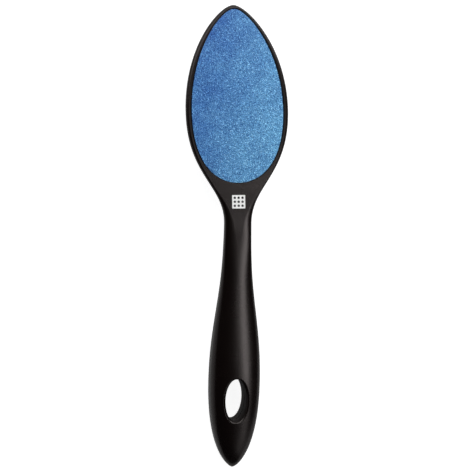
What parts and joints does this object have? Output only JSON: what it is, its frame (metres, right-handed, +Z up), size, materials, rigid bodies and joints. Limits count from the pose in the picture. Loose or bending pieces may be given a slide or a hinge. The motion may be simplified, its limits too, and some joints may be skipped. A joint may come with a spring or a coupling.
{
  "type": "callus remover",
  "caption": "Paddle foot file with a leaf-shaped arched head, an abrasive sheet on each side, a slim neck and a swelling handle with an oval hanging slot.",
  "frame": {"origin": "centre of the footprint, on the surface that the tool rests on", "axes": "+Y from the handle to the tip of the head, +Z up through the coarse face, +X across the head"},
  "size_m": [0.0556, 0.25, 0.0214],
  "materials": {
    "black_plastic": "satin black moulded plastic",
    "coarse_grit": "coarse blue grit bonded to a waterproof backing, with pale sparkle",
    "fine_grit": "fine blue grit bonded to a waterproof backing",
    "adhesive_film": "translucent transfer adhesive",
    "white_print": "white ink printed on the neck",
    "black_print": "black ink printed over the white"
  },
  "bodies": {
    "root": {"front_shell": "black_plastic", "rear_shell": "black_plastic", "coarse_sheet": "coarse_grit", "coarse_adhesive": "adhesive_film", "fine_sheet": "fine_grit", "fine_adhesive": "adhesive_film"}
  },
  "joints": []
}
